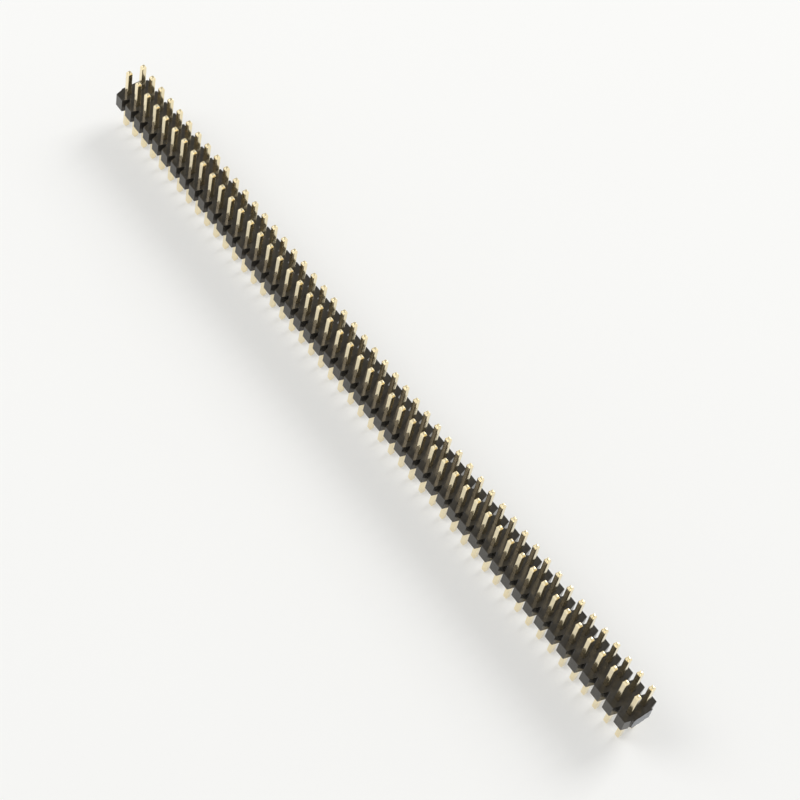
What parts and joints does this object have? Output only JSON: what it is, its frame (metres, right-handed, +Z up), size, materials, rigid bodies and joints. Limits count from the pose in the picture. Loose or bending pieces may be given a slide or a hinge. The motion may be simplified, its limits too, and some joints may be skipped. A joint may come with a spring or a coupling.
{
  "type": "double-row pin header",
  "caption": "Straight two-row board header: square gold-plated posts pressed through a snap-off black moulded strip with notched sides.",
  "frame": {"origin": "middle of the moulding's flat underside, the face that seats on the board, halfway between the two rows and the two ends", "axes": "+X along the strip, from position 1 to position 50; +Y across the rows, from the front row to the rear row; +Z up the mating posts, away from the board"},
  "size_m": [0.0636, 0.0028, 0.0063],
  "materials": {
    "housing": "black glass-filled thermoplastic, satin as moulded",
    "contact": "square copper-alloy wire, polished gold plating"
  },
  "bodies": {
    "root": {"housing": "housing", "contact_pair_01": "contact", "contact_pair_02": "contact", "contact_pair_03": "contact", "contact_pair_04": "contact", "contact_pair_05": "contact", "contact_pair_06": "contact", "contact_pair_07": "contact", "contact_pair_08": "contact", "contact_pair_09": "contact", "contact_pair_10": "contact", "contact_pair_11": "contact", "contact_pair_12": "contact", "contact_pair_13": "contact", "contact_pair_14": "contact", "contact_pair_15": "contact", "contact_pair_16": "contact", "contact_pair_17": "contact", "contact_pair_18": "contact", "contact_pair_19": "contact", "contact_pair_20": "contact", "contact_pair_21": "contact", "contact_pair_22": "contact", "contact_pair_23": "contact", "contact_pair_24": "contact", "contact_pair_25": "contact", "contact_pair_26": "contact", "contact_pair_27": "contact", "contact_pair_28": "contact", "contact_pair_29": "contact", "contact_pair_30": "contact", "contact_pair_31": "contact", "contact_pair_32": "contact", "contact_pair_33": "contact", "contact_pair_34": "contact", "contact_pair_35": "contact", "contact_pair_36": "contact", "contact_pair_37": "contact", "contact_pair_38": "contact", "contact_pair_39": "contact", "contact_pair_40": "contact", "contact_pair_41": "contact", "contact_pair_42": "contact", "contact_pair_43": "contact", "contact_pair_44": "contact", "contact_pair_45": "contact", "contact_pair_46": "contact", "contact_pair_47": "contact", "contact_pair_48": "contact", "contact_pair_49": "contact", "contact_pair_50": "contact"}
  },
  "joints": []
}
